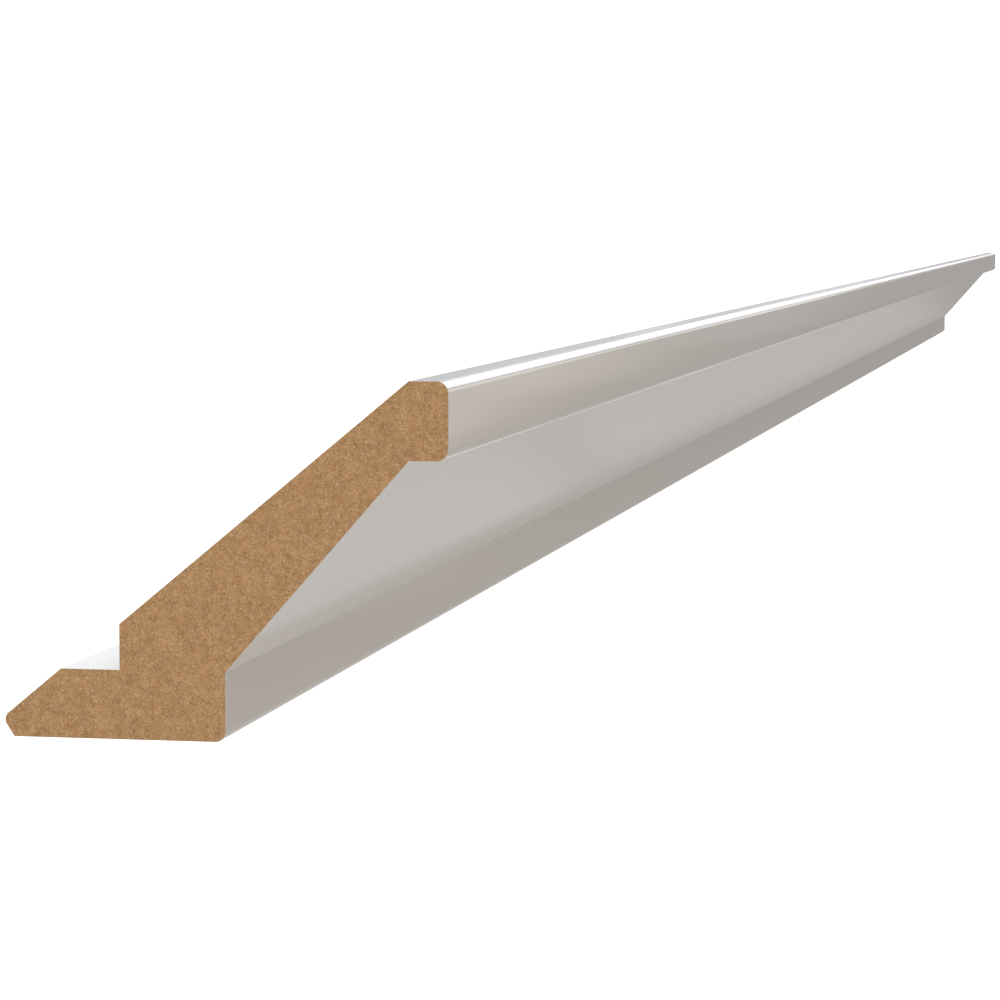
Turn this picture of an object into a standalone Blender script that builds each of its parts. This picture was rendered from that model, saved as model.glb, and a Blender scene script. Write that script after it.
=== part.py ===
"""Kitchen cornice: one straight length of sloping MDF moulding that sits on top of wall cabinets.

The length runs along X and the show side faces -Y. Seen from its end, the section has an upright
fascia at the top front, a slope that runs back and down to a low foot, and behind the foot a
ledge for the fixing screws that ends in a thin toe. The back is one slope, cut away above the
ledge. Both ends are cut square. The origin is at the middle of the flat underside, the seat.
"""

import math

import bmesh
import bpy
from mathutils import Vector

# Driving sizes, in metres
LENGTH = 2.400
HEIGHT = 0.070
PROJECTION = 0.04385  # fascia in front of the foot
FASCIA_HEIGHT = 0.0152
FASCIA_THICKNESS = 0.0077  # flat width above and below the fascia
FOOT_HEIGHT = 0.0136  # front of the foot, and the ledge behind it
RISER_SETBACK = 0.0212  # riser behind the front of the foot
RISER_HEIGHT = 0.0089
LEDGE_WIDTH = 0.01185
TOE_TIP_HEIGHT = 0.0037
TOE_UNDERCUT = 0.0024  # underside ends this far in front of the toe's tip
FASCIA_EDGE_RADIUS = 0.0024
FOOT_EDGE_RADIUS = 0.0022
TOE_RADIUS = 0.0018

# Surface quality
ARC_STEPS = 12
SHARP_ANGLE = math.radians(20)

# Finish: satin taupe
TAUPE = (0.50, 0.46, 0.42, 1.0)
ROUGHNESS = 0.35


def clear_scene():
    for old in list(bpy.data.objects):
        bpy.data.objects.remove(old, do_unlink=True)


def arc(before, corner, after, radius):
    """Points of the arc that rounds a corner between two straight edges of the outline."""
    to_before = (before - corner).normalized()
    to_after = (after - corner).normalized()
    half_angle = to_before.angle(to_after) / 2
    start = corner + to_before * radius / math.tan(half_angle)
    centre = corner + (to_before + to_after).normalized() * radius / math.sin(half_angle)
    turn = (start - centre).angle_signed(corner - centre) * 2
    points = []
    for step in range(ARC_STEPS + 1):
        # A positive signed angle is clockwise here, and a 2-D rotation is anticlockwise
        angle = -turn * step / ARC_STEPS
        spoke = start - centre
        points.append(
            centre
            + Vector(
                (
                    spoke.x * math.cos(angle) - spoke.y * math.sin(angle),
                    spoke.x * math.sin(angle) + spoke.y * math.cos(angle),
                )
            )
        )
    return points


def section():
    """Outline of the section as (Y, Z) points, from the top back edge forward and round."""
    fascia_front = -PROJECTION
    fascia_back = FASCIA_THICKNESS - PROJECTION
    riser_top = FOOT_HEIGHT + RISER_HEIGHT
    back_slope = (HEIGHT - riser_top) / (RISER_SETBACK - fascia_back)
    ledge_back = RISER_SETBACK + LEDGE_WIDTH
    # The toe's top carries on down at the slope of the back
    toe_tip = ledge_back + (FOOT_HEIGHT - TOE_TIP_HEIGHT) / back_slope
    seat_back = toe_tip - TOE_UNDERCUT
    corners = [
        (fascia_back, HEIGHT, 0),
        (fascia_front, HEIGHT, FASCIA_EDGE_RADIUS),
        (fascia_front, HEIGHT - FASCIA_HEIGHT, FASCIA_EDGE_RADIUS),
        (fascia_back, HEIGHT - FASCIA_HEIGHT, 0),
        (0, FOOT_HEIGHT, 0),
        (0, 0, FOOT_EDGE_RADIUS),
        (seat_back, 0, 0),
        (toe_tip, TOE_TIP_HEIGHT, TOE_RADIUS),
        (ledge_back, FOOT_HEIGHT, 0),
        (RISER_SETBACK, FOOT_HEIGHT, 0),
        (RISER_SETBACK, riser_top, 0),
    ]
    outline = []
    for index, (y, z, radius) in enumerate(corners):
        corner = Vector((y, z))
        if radius:
            before = Vector(corners[index - 1][:2])
            after = Vector(corners[(index + 1) % len(corners)][:2])
            outline.extend(arc(before, corner, after, radius))
        else:
            outline.append(corner)
    # The origin is halfway across the flat of the underside
    seat_middle = (FOOT_EDGE_RADIUS + seat_back) / 2
    return [(point.x - seat_middle, point.y) for point in outline]


def satin_taupe():
    material = bpy.data.materials.new("satin_taupe")
    material.use_nodes = True
    shader = material.node_tree.nodes["Principled BSDF"]
    shader.inputs["Base Color"].default_value = TAUPE
    shader.inputs["Roughness"].default_value = ROUGHNESS
    shader.inputs["Metallic"].default_value = 0.0
    return material


def make_cornice():
    """The section, drawn at one end and extruded along X to the other."""
    shape = bmesh.new()
    rim = [shape.verts.new((-LENGTH / 2, y, z)) for y, z in section()]
    end = shape.faces.new(rim)
    grown = bmesh.ops.extrude_face_region(shape, geom=[end], use_keep_orig=True)
    far_end = [item for item in grown["geom"] if isinstance(item, bmesh.types.BMVert)]
    bmesh.ops.translate(shape, verts=far_end, vec=(LENGTH, 0, 0))
    bmesh.ops.recalc_face_normals(shape, faces=shape.faces)
    mesh = bpy.data.meshes.new("cornice")
    shape.to_mesh(mesh)
    shape.free()
    mesh.shade_smooth()
    mesh.set_sharp_from_angle(angle=SHARP_ANGLE)
    mesh.materials.append(satin_taupe())
    cornice = bpy.data.objects.new("cornice", mesh)
    bpy.context.collection.objects.link(cornice)
    return cornice


clear_scene()
make_cornice()
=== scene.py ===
"""Looks of the kitchen cornice: its MDF core, the satin taupe finish and the off-white backing.

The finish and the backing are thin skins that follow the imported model's own outline, and the core
fills them. The two sawn ends of the core are left bare.
"""

import math

import bmesh
import bpy
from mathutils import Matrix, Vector, noise
from mathutils.geometry import delaunay_2d_cdt


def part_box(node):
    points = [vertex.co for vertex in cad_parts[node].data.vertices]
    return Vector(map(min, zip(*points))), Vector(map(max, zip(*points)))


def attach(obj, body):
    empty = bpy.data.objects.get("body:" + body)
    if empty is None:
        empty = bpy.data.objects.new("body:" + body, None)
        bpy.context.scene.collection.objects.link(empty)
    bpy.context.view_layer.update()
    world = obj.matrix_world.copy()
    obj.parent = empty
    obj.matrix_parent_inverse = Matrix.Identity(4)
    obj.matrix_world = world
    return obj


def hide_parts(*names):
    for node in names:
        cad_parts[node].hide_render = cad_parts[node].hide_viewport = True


# Skins, in metres
SKIN = 0.00025  # thickness of the finish and of the backing
FEATHER = 0.00004  # that thickness at the sawn ends, where both are sanded flush
GLUE_GAP = 0.000005  # between the skins and the core
END_BAND = 0.001  # length over which the skins thin and their edge is rubbed
SAME_POINT = 0.000001  # points this close count as one
ARRIS_RADIUS = 0.0003  # softens the corners that the section leaves sharp
ARRIS_STEPS = 4
RUB_BAND = 0.0006  # the rubbing of an arris fades out over this width
SHARP_CORNER = math.radians(25)

# Sawn ends, in metres
END_GRID = 0.0007  # spacing of the points that carry their relief
END_RELIEF = 0.00004  # its depth
FIBRE_LUMP = 0.0012  # size of the lumps in it
FINE_LUMPS = 3  # the lumps on those lumps are this many times smaller
INSIDE_ONLY = 1  # has the triangulation fill the outline and nothing outside it

# The core's map, in shares of it
BAKE_ROW = 0.5  # height of the row of each sawn end
BAKE_MARGIN = 0.01  # round each sawn end
BAKE_STRIP = 0.3  # width of the strip of the hidden sides

# Camera, in metres from the near end, the front of the fascia and the underside
CAMERA_BEFORE_END = 0.6241
CAMERA_IN_FRONT = 0.1283
CAMERA_HEIGHT = 0.1007
CAMERA_YAW = 10.744  # degrees from +X towards +Y
CAMERA_PITCH = 4.768  # degrees downwards
CAMERA_NEAR = 0.01
CAMERA_FAR = 200
FOCAL_PIXELS = 3382.4
IMAGE_PIXELS = 1000
SENSOR_MM = 36.0

# Floor and wall
FLOOR_RADIUS = 30.0
FLOOR_DROP = 0.0002  # below the underside
FLOOR_COLOUR = (0.9, 0.9, 0.9, 1)
FLOOR_GLOW_COLOUR = (1, 1, 1, 1)
FLOOR_GLOW = 0.8
WALL_HEIGHT = 20.0
WALL_SIDES = 96

# Tints of the light
NEUTRAL = (1, 1, 1)
COOL = (0.95, 1, 1.06)
LILAC = (1.02, 1, 1.15)
ROSE = (1.07, 1, 1.05)
WARM = (1.09, 1, 0.93)

# Round patches of light, with angles in degrees
LIGHTS = (
    # name, azimuth from +X towards +Y, elevation, half width, share of it that is flat, strength, tint
    ("overhead", 0, 90, 90, 0, 0.59, COOL),
    ("floor_bounce", 0, -90, 90, 0, 0.98, NEUTRAL),
    ("near_side", 180, 0, 90, 0, 0.84, NEUTRAL),
    ("far_side", 0, 0, 60, 0, 0.32, NEUTRAL),
    ("show_side", -90, 0, 90, 0, 0.39, NEUTRAL),
    ("show_side_high", -30, 45, 30, 0.3, 1.5, WARM),
    # Reflected in the top and its rounded edge
    ("ahead", -0.8, 3.9, 2.9, 0.85, 0.66, ROSE),
    ("high", -2.5, 11.7, 8.8, 0.85, 1.03, COOL),
    ("high_wide", -7.2, 15.4, 9.8, 0.75, 0.83, COOL),
    ("left_small", 3.9, 4.6, 3.2, 0.75, 0.36, LILAC),
    ("left", 7.1, 8.4, 5.5, 0.75, 0.50, COOL),
    ("left_level_small", 6.3, 1.5, 2.6, 0.75, 0.16, LILAC),
    ("left_level", 11.7, 2.7, 4.5, 0.75, 0.15, LILAC),
    ("left_high_wide", 19, 8.5, 8, 0.3, 0.82, NEUTRAL),
    # Reflected in the fascia and its upper edge
    ("right_small", -6.3, 1.7, 2.0, 0.75, 0.91, NEUTRAL),
    ("right", -11.6, 3.1, 3.6, 0.75, 0.77, NEUTRAL),
    ("right_low", -12.5, -1.8, 2.8, 0.75, 0.27, WARM),
    ("right_low_small", -9.5, -1.6, 1.6, 0.75, 0.20, WARM),
    ("right_low_fine", -6.5, -1.0, 1.3, 0.75, 0.12, NEUTRAL),
    ("right_low_edge", -13.5, -4.6, 2.6, 0.4, 0.23, WARM),
    # Reflected in the slope and the rounded edges below it
    ("low", 1.5, -6.8, 3.5, 0.75, 0.11, WARM),
    ("low_wide", 2.9, -13.7, 5, 0.2, 0.10, NEUTRAL),
    ("low_middle", 6.0, -10.4, 3, 0.85, 0.09, WARM),
    ("low_left", 6.8, -4.2, 4, 0.75, 0.60, ROSE),
    ("low_left_wide", 13.6, -8.5, 7, 0.75, 0.74, ROSE),
    ("low_left_fine", 3.7, -1.5, 0.9, 0.85, 0.60, ROSE),
    # Reflected in the bright line along the lower edge of the fascia
    ("line_near", 6.9, -9.8, 2.6, 0.4, 0.38, WARM),
    ("line_middle", 4.9, -7.0, 1.9, 0.4, 0.39, WARM),
    ("line_far", 3.4, -4.9, 1.4, 0.4, 0.16, WARM),
    ("line_end", 2.4, -3.4, 1.0, 0.4, 0.15, NEUTRAL),
)

# Colours, linear
TAUPE = (0.52, 0.459, 0.394, 1)
TAUPE_DEEP = (0.50, 0.441, 0.378, 1)
TAUPE_RUBBED = (0.60, 0.545, 0.48, 1)
BACKING = (0.90, 0.89, 0.88, 1)
BACKING_DULL = (0.87, 0.86, 0.85, 1)
BACKING_RUBBED = (0.76, 0.73, 0.69, 1)
MDF_DARK = (0.218, 0.0985, 0.0333, 1)
MDF_LIGHT = (0.596, 0.363, 0.1755, 1)
MDF_WARM = (1.06, 0.99, 0.93, 1)
MDF_OLIVE = (0.94, 1.01, 1.07, 1)
MDF_SPECK = (0.76, 0.57, 0.36, 1)
MDF_FLECK = (0.23, 0.155, 0.075, 1)

# Colour sockets of the Mix node, which share their names with its other sockets
MIX_FIRST = 6
MIX_SECOND = 7
MIX_RESULT = 2

# Finish and backing
COAT_ROUGHNESS = (0.09, 0.11)  # least and most
WEAR_ROUGHNESS = 0.25  # added where an arris is rubbed
PEEL_HEIGHT = 0.000001  # of the orange peel
COLOUR_DRIFT = (3, 60, 60)  # clouds per metre along X, Y and Z
ROUGHNESS_DRIFT = (9, 120, 120)
ORANGE_PEEL = (500, 900, 900)
CLOUD_RANGE = (0.3, 0.7)  # most of a cloud's values lie between these

# Bare board
MDF_TONES = ((250, 0.2), (620, 0.42), (1080, 0.45), (2000, 0.6), (4200, 1.1))  # clouds per metre, strength
MDF_HUES = ((400, 0.8), (1200, 1.1), (3000, 1.7))
MDF_HUE_SHIFT = (0.31, 0.17, 0.23)  # keeps the hues from following the tones
LAYER_SHIFT = (3.7, 5.1, 1.3)  # keeps one size of cloud from following another
TONE_RANGE = (0.2, 0.8)
MDF_ROUGHNESS = (0.9, 0.8)  # at either end of that range
MDF_SPECULAR = 0.25
MDF_RELIEF = 0.00002

# Spots, each as clouds per metre, the cloud's value at their rim and at their heart, and strength
SCUFFS = (700, 0.42, 0.62, 0.5)
SPECKS = (2100, 0.70, 0.84, 0.5)
FLECKS = (1250, 0.58, 0.74, 0.6)

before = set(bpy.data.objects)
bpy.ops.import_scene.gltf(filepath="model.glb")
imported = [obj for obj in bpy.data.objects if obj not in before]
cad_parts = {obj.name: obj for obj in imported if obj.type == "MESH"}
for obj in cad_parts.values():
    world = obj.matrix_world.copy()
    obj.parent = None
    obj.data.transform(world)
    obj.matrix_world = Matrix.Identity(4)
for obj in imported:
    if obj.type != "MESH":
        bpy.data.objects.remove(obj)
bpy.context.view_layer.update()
low, high = (Vector(corner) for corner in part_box("cornice"))
STATIONS = (low.x, low.x + END_BAND, high.x - END_BAND, high.x)


# Outline of the section, as (Y, Z) points that run anticlockwise seen from +X

def end_outline(node):
    """Points round the node's near end, from the top back corner forward and down."""
    shape = bmesh.new()
    shape.from_mesh(node.data)
    bmesh.ops.remove_doubles(shape, verts=shape.verts, dist=SAME_POINT)
    cap = {
        face
        for face in shape.faces
        if all(abs(vert.co.x - low.x) < SAME_POINT for vert in face.verts)
    }
    neighbours = {}
    for face in cap:
        for edge in face.edges:
            if sum(other in cap for other in edge.link_faces) == 1:
                first, second = edge.verts
                neighbours.setdefault(first, []).append(second)
                neighbours.setdefault(second, []).append(first)
    top_verts = [vert for vert in neighbours if high.z - vert.co.z < SAME_POINT]
    start = max(top_verts, key=lambda vert: vert.co.y)
    before = start
    here = min(neighbours[start], key=lambda vert: vert.co.y)
    loop = [start]
    while here is not start:
        loop.append(here)
        before, here = here, next(vert for vert in neighbours[here] if vert is not before)
    points = [Vector((vert.co.y, vert.co.z)) for vert in loop]
    shape.free()
    return points


def corner_turn(points, index):
    """Signed turn at a point, positive where the corner sticks out."""
    along_in = points[index] - points[index - 1]
    along_out = points[(index + 1) % len(points)] - points[index]
    return -along_in.angle_signed(along_out)


def soften(points):
    """The outline with each sharp corner that sticks out rounded, and which points are arrises."""
    soft, rubbed = [], []
    for index, corner in enumerate(points):
        turn = corner_turn(points, index)
        if turn < SHARP_CORNER:
            soft.append(corner)
            rubbed.append(False)
            continue
        reach = ARRIS_RADIUS * math.tan(turn / 2)
        back = (points[index - 1] - corner).normalized()
        ahead = (points[(index + 1) % len(points)] - corner).normalized()
        centre = corner + (back + ahead).normalized() * ARRIS_RADIUS / math.cos(turn / 2)
        spoke = corner + back * reach - centre
        soft.append(corner + back * (reach + RUB_BAND))
        rubbed.append(False)
        for step in range(ARRIS_STEPS + 1):
            angle = turn * step / ARRIS_STEPS
            cosine, sine = math.cos(angle), math.sin(angle)
            turned = (spoke.x * cosine - spoke.y * sine, spoke.x * sine + spoke.y * cosine)
            soft.append(centre + Vector(turned))
            rubbed.append(True)
        soft.append(corner + ahead * (reach + RUB_BAND))
        rubbed.append(False)
    return soft, rubbed


def inset(points, depth):
    """The closed outline moved inwards by a depth."""
    moved = []
    for index, point in enumerate(points):
        along_in = (point - points[index - 1]).normalized()
        along_out = (points[(index + 1) % len(points)] - point).normalized()
        normal_in = Vector((-along_in.y, along_in.x))
        normal_out = Vector((-along_out.y, along_out.x))
        middle = (normal_in + normal_out).normalized()
        moved.append(point + middle * depth / middle.dot(normal_in))
    return moved


def spaced(points, spacing):
    """The closed outline with points added, so that none are further apart than spacing."""
    close = []
    for index, point in enumerate(points):
        after = points[(index + 1) % len(points)]
        parts = max(1, math.ceil((after - point).length / spacing))
        close.extend(point.lerp(after, part / parts) for part in range(parts))
    return close


# Nodes of the materials. A value is a number, a colour or the socket that gives it

def new_material(name):
    material = bpy.data.materials.new(name)
    material.use_nodes = True
    return material, material.node_tree, material.node_tree.nodes["Principled BSDF"]


def feed(tree, value, socket):
    if isinstance(value, bpy.types.NodeSocket):
        tree.links.new(value, socket)
    else:
        socket.default_value = value


def place(tree):
    return tree.nodes.new("ShaderNodeTexCoord").outputs["Object"]


def scaled(tree, vector, scale, offset=(0, 0, 0)):
    mapping = tree.nodes.new("ShaderNodeMapping")
    mapping.inputs["Scale"].default_value = scale
    mapping.inputs["Location"].default_value = offset
    tree.links.new(vector, mapping.inputs["Vector"])
    return mapping.outputs["Vector"]


def cloud(tree, vector, scale=1.0, detail=1.0, distortion=0.0):
    texture = tree.nodes.new("ShaderNodeTexNoise")
    texture.inputs["Scale"].default_value = scale
    texture.inputs["Detail"].default_value = detail
    texture.inputs["Distortion"].default_value = distortion
    tree.links.new(vector, texture.inputs["Vector"])
    return texture.outputs["Fac"]


def ranged(tree, value, from_low, from_high, to_low=0.0, to_high=1.0):
    node = tree.nodes.new("ShaderNodeMapRange")
    node.inputs["From Min"].default_value = from_low
    node.inputs["From Max"].default_value = from_high
    node.inputs["To Min"].default_value = to_low
    node.inputs["To Max"].default_value = to_high
    tree.links.new(value, node.inputs["Value"])
    return node.outputs["Result"]


def blended(tree, share, first, second, blend_type="MIX"):
    node = tree.nodes.new("ShaderNodeMix")
    node.data_type = "RGBA"
    node.blend_type = blend_type
    feed(tree, share, node.inputs["Factor"])
    feed(tree, first, node.inputs[MIX_FIRST])
    feed(tree, second, node.inputs[MIX_SECOND])
    return node.outputs[MIX_RESULT]


def worked_out(tree, operation, *values):
    node = tree.nodes.new("ShaderNodeMath")
    node.operation = operation
    for value, socket in zip(values, node.inputs):
        feed(tree, value, socket)
    return node.outputs["Value"]


def layered(tree, where, layers):
    """Several sizes of cloud added together, about a middle value of 0.5."""
    total = 0.5 - sum(strength for _, strength in layers) / 2
    for index, (scale, strength) in enumerate(layers):
        apart = tuple(part * index for part in LAYER_SHIFT)
        clouds = cloud(tree, scaled(tree, where, (scale,) * 3, apart))
        total = worked_out(tree, "MULTIPLY_ADD", clouds, strength, total)
    return total


def spots(tree, where, kind, detail, distortion=0.0):
    """How much of a kind of spot shows at each place."""
    scale, rim, heart, strength = kind
    clouds = cloud(tree, where, scale, detail, distortion)
    return ranged(tree, clouds, rim, heart, 0, strength)


def wear_of(tree):
    attribute = tree.nodes.new("ShaderNodeAttribute")
    attribute.attribute_name = "wear"
    return attribute.outputs["Fac"]


def add_bump(tree, shader, height, distance):
    bump = tree.nodes.new("ShaderNodeBump")
    bump.inputs["Strength"].default_value = 1.0
    bump.inputs["Distance"].default_value = distance
    tree.links.new(height, bump.inputs["Height"])
    tree.links.new(bump.outputs["Normal"], shader.inputs["Normal"])


# Materials

def coated(name, colour, deep, rubbed_colour):
    """A smooth factory finish: faint colour drift, fine orange peel and rubbed arrises."""
    material, tree, shader = new_material(name)
    where = place(tree)
    worn = worked_out(tree, "MULTIPLY", wear_of(tree), spots(tree, where, SCUFFS, detail=2))
    drift = cloud(tree, scaled(tree, where, COLOUR_DRIFT), detail=3)
    base = blended(tree, ranged(tree, drift, *CLOUD_RANGE), colour, deep)
    feed(tree, blended(tree, worn, base, rubbed_colour), shader.inputs["Base Color"])
    smear = cloud(tree, scaled(tree, where, ROUGHNESS_DRIFT), detail=3)
    unworn = ranged(tree, smear, *CLOUD_RANGE, *COAT_ROUGHNESS)
    rough = worked_out(tree, "MULTIPLY_ADD", worn, WEAR_ROUGHNESS, unworn)
    feed(tree, rough, shader.inputs["Roughness"])
    add_bump(tree, shader, cloud(tree, scaled(tree, where, ORANGE_PEEL)), PEEL_HEIGHT)
    return material


def raw_mdf():
    """Pressed wood fibre, sawn across: a fine grain, a faint mottle and a drift from warm to olive."""
    material, tree, shader = new_material("raw_mdf")
    where = place(tree)
    tone = layered(tree, where, MDF_TONES)
    hue = layered(tree, scaled(tree, where, (1, 1, 1), MDF_HUE_SHIFT), MDF_HUES)
    base = blended(tree, tone, MDF_DARK, MDF_LIGHT)
    tint = blended(tree, hue, MDF_WARM, MDF_OLIVE)
    tinted = blended(tree, 1.0, base, tint, "MULTIPLY")
    flecks = spots(tree, where, FLECKS, detail=2, distortion=1.0)
    flecked = blended(tree, flecks, tinted, MDF_FLECK)
    specks = spots(tree, where, SPECKS, detail=0)
    feed(tree, blended(tree, specks, flecked, MDF_SPECK), shader.inputs["Base Color"])
    feed(tree, ranged(tree, tone, *TONE_RANGE, *MDF_ROUGHNESS), shader.inputs["Roughness"])
    shader.inputs["Specular IOR Level"].default_value = MDF_SPECULAR
    add_bump(tree, shader, tone, MDF_RELIEF)
    return material


# Pieces

def new_piece(name, shape, material):
    bmesh.ops.recalc_face_normals(shape, faces=shape.faces)
    mesh = bpy.data.meshes.new(name)
    shape.to_mesh(mesh)
    shape.free()
    mesh.shade_smooth()
    mesh.set_sharp_from_angle(angle=SHARP_CORNER)
    mesh.materials.append(material)
    piece = bpy.data.objects.new(name, mesh)
    bpy.context.scene.collection.objects.link(piece)
    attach(piece, "root")
    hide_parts("cornice")


def add_band(shape, near, far):
    """Faces from one closed ring of points to the next, in the order of the ring."""
    faces = []
    for index in range(len(near)):
        after = (index + 1) % len(near)
        faces.append(shape.faces.new((near[index], near[after], far[after], far[index])))
    return faces


def skin(name, indices, material):
    """A closed skin along the whole length, over a run of the outline's points."""
    shape = bmesh.new()
    wear = shape.verts.layers.float.new("wear")
    rings = []
    for x in STATIONS:
        at_end = x in (low.x, high.x)
        under = inset(outline, FEATHER if at_end else SKIN)
        ring = []
        for line, order in ((outline, indices), (under, indices[::-1])):
            for index in order:
                vert = shape.verts.new((x, *line[index]))
                vert[wear] = 1.0 if at_end or rubbed[index] else 0.0
                ring.append(vert)
        rings.append(ring)
    for near, far in zip(rings, rings[1:]):
        add_band(shape, near, far)
    # At each end, faces close the skin between its outside and its underside
    for ring in (rings[0], rings[-1]):
        for index in range(len(indices) - 1):
            across = len(ring) - 1 - index
            shape.faces.new((ring[index], ring[index + 1], ring[across - 1], ring[across]))
    new_piece(name, shape, material)


def end_relief(y, z, seed):
    """How far the sawn end is cut in at a point."""
    lump = noise.noise(Vector((y, z, seed)) / FIBRE_LUMP)
    fine = noise.noise(Vector((z, seed, y)) / FIBRE_LUMP * FINE_LUMPS)
    return END_RELIEF * (lump + fine / 2 + 1) / 2


def core(material):
    """The solid board inside the skins, with a fine relief over each sawn end."""
    around = spaced(outline, END_GRID)
    rim = inset(around, FEATHER + GLUE_GAP)
    waist = inset(around, SKIN + GLUE_GAP)
    count = len(rim)
    # A grid with every second column half a step up. Its points outside the rim get no face
    inside = [
        Vector((low.y + END_GRID * column, low.z + END_GRID * (row + 0.5 * (column % 2))))
        for column in range(math.ceil((high.y - low.y) / END_GRID))
        for row in range(math.ceil((high.z - low.z) / END_GRID))
    ]
    found = delaunay_2d_cdt(rim + inside, [], [list(range(count))], INSIDE_ONLY, SAME_POINT)
    points, _, faces, origins = found[:4]

    shape = bmesh.new()
    bake_map = shape.loops.layers.uv.new("OFBake")
    per_metre = (BAKE_ROW - 2 * BAKE_MARGIN) / (high.z - low.z)
    rims = []
    for x, inward, row_start in ((low.x, 1, 0), (high.x, -1, BAKE_ROW)):
        verts = []
        rim_verts = {}
        for index, (y, z) in enumerate(points):
            sources = [source for source in origins[index] if source < count]
            depth = 0 if sources else end_relief(y, z, x)
            vert = shape.verts.new((x + inward * depth, y, z))
            verts.append(vert)
            for source in sources:
                rim_verts[source] = vert
        for indices in faces:
            face = shape.faces.new([verts[index] for index in indices])
            for loop in face.loops:
                across = BAKE_MARGIN + (loop.vert.co.y - low.y) * per_metre
                up = row_start + BAKE_MARGIN + (loop.vert.co.z - low.z) * per_metre
                loop[bake_map].uv = (across, up)
        rims.append([rim_verts[index] for index in range(count)])

    rings = [rims[0]]
    for x in STATIONS[1:-1]:
        rings.append([shape.verts.new((x, y, z)) for y, z in waist])
    rings.append(rims[1])
    for row, (near, far) in enumerate(zip(rings, rings[1:])):
        bottom, top = row / (len(rings) - 1), (row + 1) / (len(rings) - 1)
        for index, face in enumerate(add_band(shape, near, far)):
            left, right = (1 - BAKE_STRIP * (count - part) / count for part in (index, index + 1))
            corners = ((left, bottom), (right, bottom), (right, top), (left, top))
            for loop, corner in zip(face.loops, corners):
                loop[bake_map].uv = corner
    loose = [vert for vert in shape.verts if not vert.link_faces]
    bmesh.ops.delete(shape, geom=loose, context="VERTS")
    new_piece("mdf_core", shape, material)


outline, rubbed = soften(end_outline(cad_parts["cornice"]))
# The finish runs from the front of the top face, over the fascia, slope and foot, to the front of
# the underside, and the backing has the rest
finish_start = max(index for index, point in enumerate(outline) if high.z - point.y < SAME_POINT)
finish_stop = min(index for index, point in enumerate(outline) if point.y - low.z < SAME_POINT)
show_side = list(range(finish_start, finish_stop + 1))
hidden_side = list(range(finish_stop, len(outline))) + list(range(finish_start + 1))

satin_taupe = coated("satin_taupe", TAUPE, TAUPE_DEEP, TAUPE_RUBBED)
skin("taupe_finish", show_side, satin_taupe)
white_backing = coated("white_backing", BACKING, BACKING_DULL, BACKING_RUBBED)
skin("white_backing", hidden_side, white_backing)
core(raw_mdf())


# Studio

def make_backdrop():
    """A round pale floor whose edge turns up into a plain wall. Only the camera sees it."""
    material, _, shader = new_material("pale_floor")
    shader.inputs["Base Color"].default_value = FLOOR_COLOUR
    shader.inputs["Roughness"].default_value = 1.0
    shader.inputs["Specular IOR Level"].default_value = 0.0
    shader.inputs["Emission Color"].default_value = FLOOR_GLOW_COLOUR
    shader.inputs["Emission Strength"].default_value = FLOOR_GLOW
    shape = bmesh.new()
    bmesh.ops.create_circle(shape, cap_ends=True, segments=WALL_SIDES, radius=FLOOR_RADIUS)
    rim = [edge for edge in shape.edges if edge.is_boundary]
    raised = bmesh.ops.extrude_edge_only(shape, edges=rim)
    for item in raised["geom"]:
        if isinstance(item, bmesh.types.BMVert):
            item.co.z += WALL_HEIGHT
    bmesh.ops.translate(shape, verts=shape.verts, vec=(0, 0, low.z - FLOOR_DROP))
    mesh = bpy.data.meshes.new("backdrop")
    shape.to_mesh(mesh)
    shape.free()
    mesh.materials.append(material)
    backdrop = bpy.data.objects.new("backdrop", mesh)
    bpy.context.scene.collection.objects.link(backdrop)
    backdrop.visible_glossy = False
    backdrop.visible_diffuse = False
    backdrop.visible_shadow = False


def direction(azimuth, elevation):
    """Unit vector towards an azimuth from +X towards +Y and an elevation, in degrees."""
    around, up = math.radians(azimuth), math.radians(elevation)
    return (math.cos(around) * math.cos(up), math.sin(around) * math.cos(up), math.sin(up))


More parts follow.
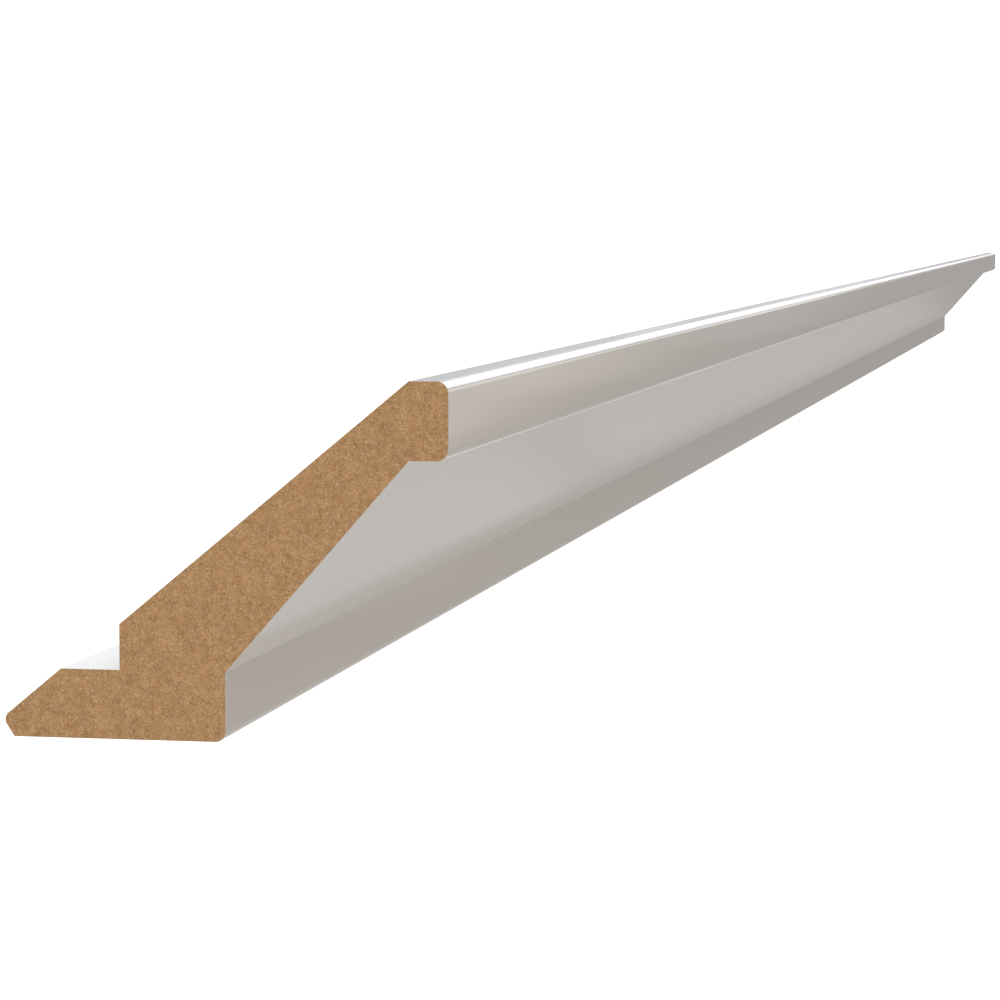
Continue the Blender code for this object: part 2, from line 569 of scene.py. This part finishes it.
def patch_of_light(tree, towards, name, middle, half_width, flat):
    """1 in the flat middle of a round patch of the surround, falling smoothly to 0 at its rim."""
    closeness = tree.nodes.new("ShaderNodeVectorMath")
    closeness.operation = "DOT_PRODUCT"
    closeness.inputs[1].default_value = middle
    tree.links.new(towards, closeness.inputs[0])
    patch = tree.nodes.new("ShaderNodeMapRange")
    patch.name = name
    patch.interpolation_type = "SMOOTHSTEP"
    patch.inputs["From Min"].default_value = math.cos(math.radians(half_width))
    patch.inputs["From Max"].default_value = math.cos(math.radians(half_width * flat))
    tree.links.new(closeness.outputs["Value"], patch.inputs["Value"])
    return patch.outputs["Result"]


def make_world():
    """A soft studio: the light from each direction is the sum of the patches of light there."""
    world = bpy.data.worlds.new("studio")
    bpy.context.scene.world = world
    world.use_nodes = True
    tree = world.node_tree
    towards = tree.nodes.new("ShaderNodeTexCoord").outputs["Generated"]
    light = (0, 0, 0)
    for name, azimuth, elevation, half_width, flat, strength, tint in LIGHTS:
        middle = direction(azimuth, elevation)
        patch = patch_of_light(tree, towards, name, middle, half_width, flat)
        added = tree.nodes.new("ShaderNodeVectorMath")
        added.operation = "MULTIPLY_ADD"
        tree.links.new(patch, added.inputs[0])
        added.inputs[1].default_value = Vector(tint) * strength
        feed(tree, light, added.inputs[2])
        light = added.outputs["Vector"]
    tree.links.new(light, tree.nodes["Background"].inputs["Color"])


def make_camera():
    data = bpy.data.cameras.new("camera")
    data.sensor_width = SENSOR_MM
    data.lens = FOCAL_PIXELS * SENSOR_MM / IMAGE_PIXELS
    data.clip_start = CAMERA_NEAR
    data.clip_end = CAMERA_FAR
    camera = bpy.data.objects.new("camera", data)
    bpy.context.scene.collection.objects.link(camera)
    camera.location = (low.x - CAMERA_BEFORE_END, low.y - CAMERA_IN_FRONT, low.z + CAMERA_HEIGHT)
    ahead = Vector(direction(CAMERA_YAW, -CAMERA_PITCH))
    camera.rotation_mode = "QUATERNION"
    camera.rotation_quaternion = ahead.to_track_quat("-Z", "Y")
    bpy.context.scene.camera = camera


make_backdrop()
make_world()
make_camera()
bpy.context.scene.view_settings.view_transform = "Standard"
